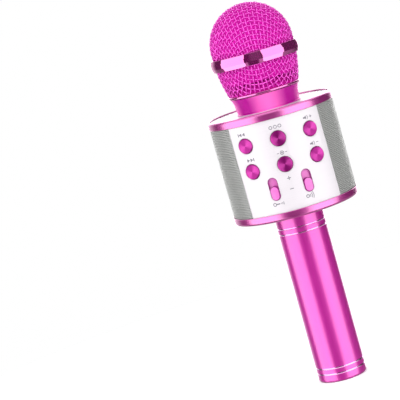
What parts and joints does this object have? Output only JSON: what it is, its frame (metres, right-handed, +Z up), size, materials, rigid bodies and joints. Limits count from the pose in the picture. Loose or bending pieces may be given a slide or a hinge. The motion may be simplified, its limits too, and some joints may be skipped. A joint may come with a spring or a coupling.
{
  "type": "karaoke microphone",
  "caption": "Cordless handheld microphone with a round wire-mesh head, a drum-shaped speaker body with a curved control panel, and a slim tube handle.",
  "frame": {"origin": "centre of the end cap's flat outer face, which the microphone stands on", "axes": "+Z up the handle towards the head; the control panel faces -Y; +X is to the panel's right when looking at it"},
  "size_m": [0.082, 0.0821, 0.2474],
  "materials": {
    "anodised_tube": "magenta anodised, satin",
    "plated_trim": "magenta electroplated, mirror bright",
    "woven_wire": "magenta plated wire cloth, pressed to shape",
    "spun_button": "magenta anodised, spun face",
    "slider_plastic": "pink moulded, glossy",
    "silver_sheet": "silver, satin",
    "perforated_sheet": "punched sheet, grey",
    "scrim_cloth": "black acoustic cloth",
    "windscreen_foam": "open-cell foam, dyed",
    "black_abs": "moulded, fine grain",
    "rubber": "matt",
    "zinc_plate": "bright zinc",
    "circuit_board": "green solder mask",
    "magnet_iron": "black, dull",
    "cone_paper": "pressed paper pulp",
    "cell_can": "shrink-wrapped can",
    "light_pipe": "clear acrylic",
    "wire_sleeve": "PVC insulation"
  },
  "bodies": {
    "microphone_body": {"neck_collar": "plated_trim", "neck_thread": "zinc_plate", "neck_nut": "zinc_plate", "capsule_holder": "black_abs", "capsule_boot": "rubber", "capsule": "zinc_plate", "top_rim": "plated_trim", "top_plate": "silver_sheet", "bottom_rim": "plated_trim", "bottom_plate": "silver_sheet", "front_panel": "silver_sheet", "rear_panel": "silver_sheet", "left_grille": "perforated_sheet", "right_grille": "perforated_sheet", "left_scrim": "scrim_cloth", "right_scrim": "scrim_cloth", "cabinet_front": "black_abs", "cabinet_rear": "black_abs", "cabinet_screws": "zinc_plate", "left_speaker_frame": "zinc_plate", "left_speaker_magnet": "magnet_iron", "left_speaker_cone": "cone_paper", "left_speaker_surround": "rubber", "right_speaker_frame": "zinc_plate", "right_speaker_magnet": "magnet_iron", "right_speaker_cone": "cone_paper", "right_speaker_surround": "rubber", "control_board": "circuit_board", "key_switches": "zinc_plate", "slide_pots": "black_abs", "main_board": "circuit_board", "board_screws": "zinc_plate", "usb_socket": "zinc_plate", "card_socket": "black_abs", "aux_jack": "black_abs", "light_pipes": "light_pipe", "inner_wiring": "wire_sleeve", "handle_collar": "anodised_tube", "handle_nut": "zinc_plate", "handle_tube": "anodised_tube", "handle_insert": "zinc_plate", "battery_sleeve": "black_abs", "battery_cell": "cell_can", "battery_contact": "zinc_plate"},
    "head_carrier": {"grille_lip": "plated_trim"},
    "head": {"grille_dome": "woven_wire", "grille_skirt": "woven_wire", "grille_band": "plated_trim", "windscreen_foam": "windscreen_foam"},
    "cap_carrier": {"end_cap_seal": "rubber"},
    "end_cap": {"end_cap": "black_abs", "battery_spring": "zinc_plate"},
    "button_previous": {"button_previous": "spun_button"},
    "button_next": {"button_next": "spun_button"},
    "button_scan": {"button_scan": "spun_button"},
    "button_record": {"button_record": "spun_button"},
    "button_volume_up": {"button_volume_up": "spun_button"},
    "button_volume_down": {"button_volume_down": "spun_button"},
    "slider_mic_volume": {"slider_mic_volume": "slider_plastic"},
    "slider_echo": {"slider_echo": "slider_plastic"}
  },
  "joints": [
    {"name": "press_previous", "type": "slide", "parent": "microphone_body", "child": "button_previous", "axis": [0.515, 0.8572, 0], "range_m": [0, 0.0006], "stiffness_N_per_m": 600, "springref_m": -0.002},
    {"name": "press_next", "type": "slide", "parent": "microphone_body", "child": "button_next", "axis": [0.515, 0.8572, 0], "range_m": [0, 0.0006], "stiffness_N_per_m": 600, "springref_m": -0.002},
    {"name": "press_scan", "type": "slide", "parent": "microphone_body", "child": "button_scan", "axis": [0, 1, 0], "range_m": [0, 0.0006], "stiffness_N_per_m": 600, "springref_m": -0.002},
    {"name": "press_record", "type": "slide", "parent": "microphone_body", "child": "button_record", "axis": [0, 1, 0], "range_m": [0, 0.0006], "stiffness_N_per_m": 600, "springref_m": -0.002},
    {"name": "press_volume_up", "type": "slide", "parent": "microphone_body", "child": "button_volume_up", "axis": [-0.515, 0.8572, 0], "range_m": [0, 0.0006], "stiffness_N_per_m": 600, "springref_m": -0.002},
    {"name": "press_volume_down", "type": "slide", "parent": "microphone_body", "child": "button_volume_down", "axis": [-0.515, 0.8572, 0], "range_m": [0, 0.0006], "stiffness_N_per_m": 600, "springref_m": -0.002},
    {"name": "slide_mic_volume", "type": "slide", "parent": "microphone_body", "child": "slider_mic_volume", "axis": [0, 0, 1], "range_m": [0, 0.0052]},
    {"name": "slide_echo", "type": "slide", "parent": "microphone_body", "child": "slider_echo", "axis": [0, 0, 1], "range_m": [0, 0.0052]},
    {"name": "head_rise", "type": "slide", "parent": "microphone_body", "child": "head_carrier", "axis": [0, 0, 1], "range_m": [0, 0.006]},
    {"name": "head_turn", "type": "hinge", "parent": "head_carrier", "child": "head", "pos_m": [0, 0, 0.1962], "axis": [0, 0, 1], "range_deg": [0, 1440]},
    {"name": "end_cap_drop", "type": "slide", "parent": "microphone_body", "child": "cap_carrier", "axis": [0, 0, 1], "range_m": [-0.006, 0]},
    {"name": "end_cap_turn", "type": "hinge", "parent": "cap_carrier", "child": "end_cap", "pos_m": [0, 0, 0.005], "axis": [0, 0, 1], "range_deg": [-1440, 0]}
  ],
  "couplings": [
    {"joint": "head_rise", "follows": "head_turn", "m_per_rad": 0.00023873},
    {"joint": "end_cap_drop", "follows": "end_cap_turn", "m_per_rad": 0.00023873}
  ]
}
